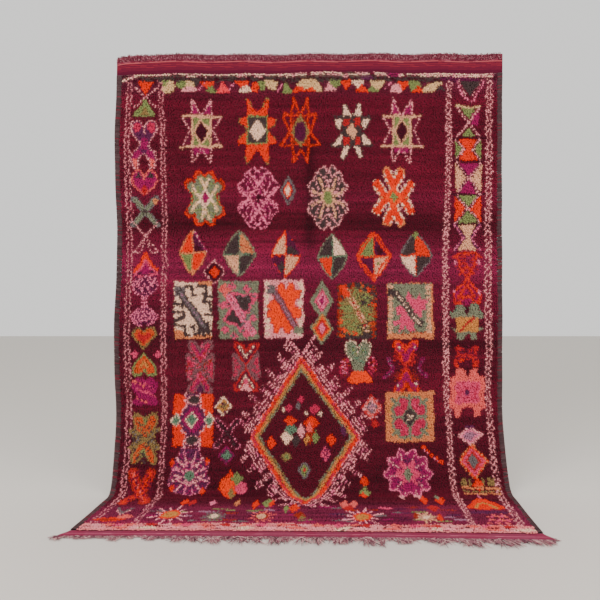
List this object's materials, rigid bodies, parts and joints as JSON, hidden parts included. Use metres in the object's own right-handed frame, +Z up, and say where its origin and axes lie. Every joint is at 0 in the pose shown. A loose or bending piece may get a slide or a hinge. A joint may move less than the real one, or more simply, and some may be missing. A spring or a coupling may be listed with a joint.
{
  "type": "hung pile rug",
  "caption": "Hand-knotted wool pile rug held by its short upper edge, its foot sweeping forward onto the floor and ending in a fringe.",
  "frame": {"origin": "on the floor, under the middle of the rug's box", "axes": "+X to the viewer's right, +Y back towards the wall, +Z up; the pile side faces -Y"},
  "size_m": [1.9866, 0.6392, 2.0831],
  "materials": {
    "pile": "cut wool pile",
    "fringe": "twisted wool yarn",
    "flat weave": "weft-faced wool weave",
    "selvedge": "overcast dark wool yarn"
  },
  "bodies": {
    "root": {"rug_cloth": "pile", "foot_fringe": "fringe"}
  },
  "joints": []
}
